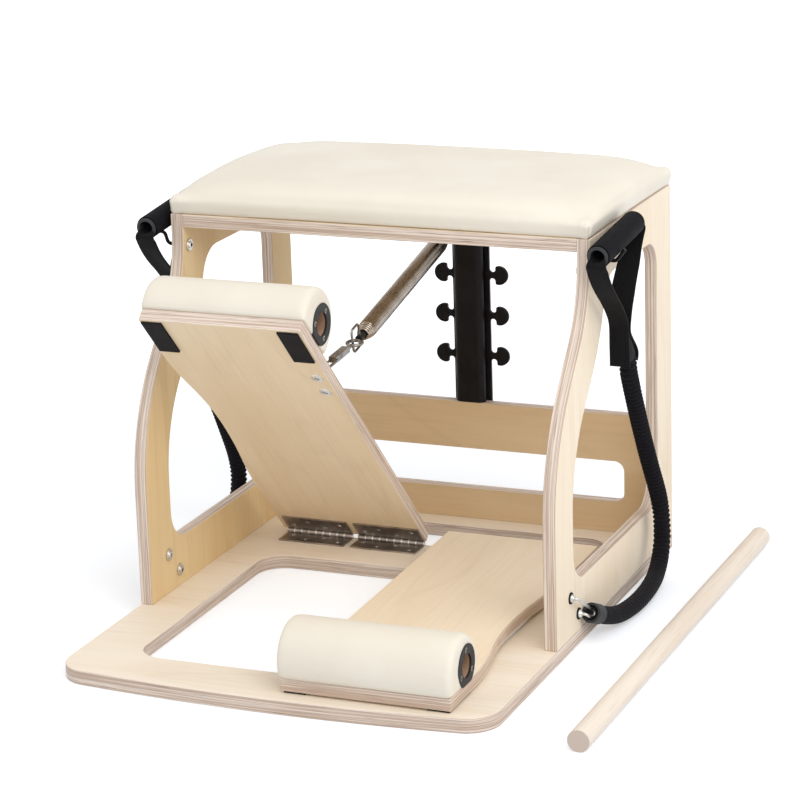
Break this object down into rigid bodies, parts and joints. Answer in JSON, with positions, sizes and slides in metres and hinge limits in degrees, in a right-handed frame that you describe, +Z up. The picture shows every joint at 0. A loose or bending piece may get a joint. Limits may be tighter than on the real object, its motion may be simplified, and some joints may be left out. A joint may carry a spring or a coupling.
{
  "type": "split-pedal pilates chair",
  "caption": "Plywood pilates chair with a padded seat, hinged pedals with padded rollers, a coil spring on a hook post, elastic pull handles and a loose joining bar.",
  "frame": {"origin": "on the underside of the base board, in the middle of the cross bar under the pedal hinges", "axes": "+X to the right as seen from the front, +Y to the back where the spring post stands, +Z up"},
  "size_m": [0.7916, 0.814, 0.5846],
  "materials": {
    "birch_ply": "clear lacquered birch plywood",
    "cream_vinyl": "smooth cream upholstery vinyl",
    "black_plastic": "matte moulded black",
    "black_metal": "satin black powder coat",
    "hinge_steel": "dull rolled steel",
    "zinc_steel": "zinc plated",
    "nickel_wire": "polished nickel plate",
    "black_rubber": "matte black",
    "black_foam": "soft closed-cell foam",
    "black_webbing": "woven webbing",
    "black_cord_cover": "gathered woven cover",
    "turned_wood": "bare turned hardwood"
  },
  "bodies": {
    "frame": {"base_board": "birch_ply", "left_side_panel": "birch_ply", "right_side_panel": "birch_ply", "seat_board": "birch_ply", "rear_panel": "birch_ply", "seat_cushion": "cream_vinyl", "spring_post": "black_metal", "hook_plate": "black_metal", "plate_screws": "zinc_steel", "frame_screws": "zinc_steel", "left_handle_hook": "black_metal", "right_handle_hook": "black_metal", "hook_nuts": "zinc_steel", "left_cord_loop": "nickel_wire", "right_cord_loop": "nickel_wire", "loop_washers": "black_rubber", "loop_nuts": "zinc_steel", "left_hinge_base_leaves": "hinge_steel", "right_hinge_base_leaves": "hinge_steel", "hinge_base_screws": "zinc_steel", "cord_ferrules": "black_rubber", "left_cord": "black_cord_cover", "right_cord": "black_cord_cover"},
    "left_pedal": {"left_pedal_board": "birch_ply", "left_roller_pad": "cream_vinyl", "left_roller_core": "turned_wood", "left_roller_caps": "black_plastic", "left_cap_screws": "zinc_steel", "left_bumpers": "black_rubber", "left_spring_saddle": "nickel_wire", "left_saddle_nuts": "zinc_steel", "left_hinge_pedal_leaves": "hinge_steel", "left_hinge_pins": "zinc_steel", "left_hinge_screws": "zinc_steel"},
    "right_pedal": {"right_pedal_board": "birch_ply", "right_roller_pad": "cream_vinyl", "right_roller_core": "turned_wood", "right_roller_caps": "black_plastic", "right_cap_screws": "zinc_steel", "right_bumpers": "black_rubber", "right_spring_saddle": "nickel_wire", "right_saddle_nuts": "zinc_steel", "right_hinge_pedal_leaves": "hinge_steel", "right_hinge_pins": "zinc_steel", "right_hinge_screws": "zinc_steel"},
    "spring_upper": {"spring_hook": "nickel_wire", "spring_coil": "nickel_wire"},
    "spring_lower": {"spring_plug": "black_plastic", "link_ring": "nickel_wire"},
    "snap": {"snap_body": "nickel_wire"},
    "snap_swivel": {"snap_eye": "nickel_wire"},
    "snap_gate": {"snap_bolt": "nickel_wire"},
    "left_handle": {"left_strap": "black_webbing"},
    "left_grip": {"left_grip_foam": "black_foam", "left_grip_tube": "black_plastic"},
    "right_handle": {"right_strap": "black_webbing"},
    "right_grip": {"right_grip_foam": "black_foam", "right_grip_tube": "black_plastic"},
    "bar": {"connecting_bar": "turned_wood"}
  },
  "joints": [
    {"name": "left_pedal_swing", "type": "hinge", "parent": "frame", "child": "left_pedal", "pos_m": [0, 0.041, 0.025], "axis": [-1, 0, 0], "range_deg": [-46.2, 0], "stiffness_Nm_per_rad": 30, "springref_deg": 34.38},
    {"name": "right_pedal_swing", "type": "hinge", "parent": "frame", "child": "right_pedal", "pos_m": [0, 0.041, 0.025], "axis": [-1, 0, 0], "range_deg": [0, 55]},
    {"name": "spring_swing", "type": "hinge", "parent": "frame", "child": "spring_upper", "pos_m": [-0.0335, 0.205, 0.451], "axis": [-1, 0, 0], "range_deg": [-20.84, 0.05]},
    {"name": "spring_stretch", "type": "slide", "parent": "spring_upper", "child": "spring_lower", "axis": [0, -0.9778, -0.2096], "range_m": [-0.0002, 0.2687], "deforming": ["spring_coil"]},
    {"name": "snap_swing", "type": "hinge", "parent": "left_pedal", "child": "snap", "pos_m": [-0.0335, -0.24598, 0.36895], "axis": [-1, 0, 0], "range_deg": [-0.05, 17.55]},
    {"name": "snap_swivel_turn", "type": "hinge", "parent": "snap", "child": "snap_swivel", "pos_m": [-0.0335, -0.14226, 0.37655], "axis": [0, 0.9973, 0.0731], "range_deg": [-15, 15]},
    {"name": "snap_gate_slide", "type": "slide", "parent": "snap", "child": "snap_gate", "axis": [0, 0.9973, 0.0731], "range_m": [0, 0.0085], "stiffness_N_per_m": 150, "springref_m": -0.004},
    {"name": "left_handle_pull", "type": "slide", "parent": "frame", "child": "left_handle", "axis": [-0.6, 0, 0.8], "range_m": [0, 0.25], "deforming": ["left_cord"]},
    {"name": "left_grip_spin", "type": "hinge", "parent": "left_handle", "child": "left_grip", "pos_m": [-0.327, -0.106, 0.532], "axis": [0, 0.996, 0.0889], "continuous": true},
    {"name": "right_handle_pull", "type": "slide", "parent": "frame", "child": "right_handle", "axis": [0.6, 0, 0.8], "range_m": [0, 0.25], "deforming": ["right_cord"]},
    {"name": "right_grip_spin", "type": "hinge", "parent": "right_handle", "child": "right_grip", "pos_m": [0.327, -0.106, 0.532], "axis": [0, 0.996, 0.0889], "continuous": true},
    {"name": "bar_lift", "type": "slide", "parent": "frame", "child": "bar", "axis": [0, 0, 1], "range_m": [0, 0.14]}
  ],
  "couplings": [
    {"joint": "spring_swing", "follows": "left_pedal_swing", "ratio": 0.45003},
    {"joint": "spring_stretch", "follows": "left_pedal_swing", "m_per_rad": -0.33299},
    {"joint": "snap_swing", "follows": "left_pedal_swing", "ratio": -0.37883}
  ]
}
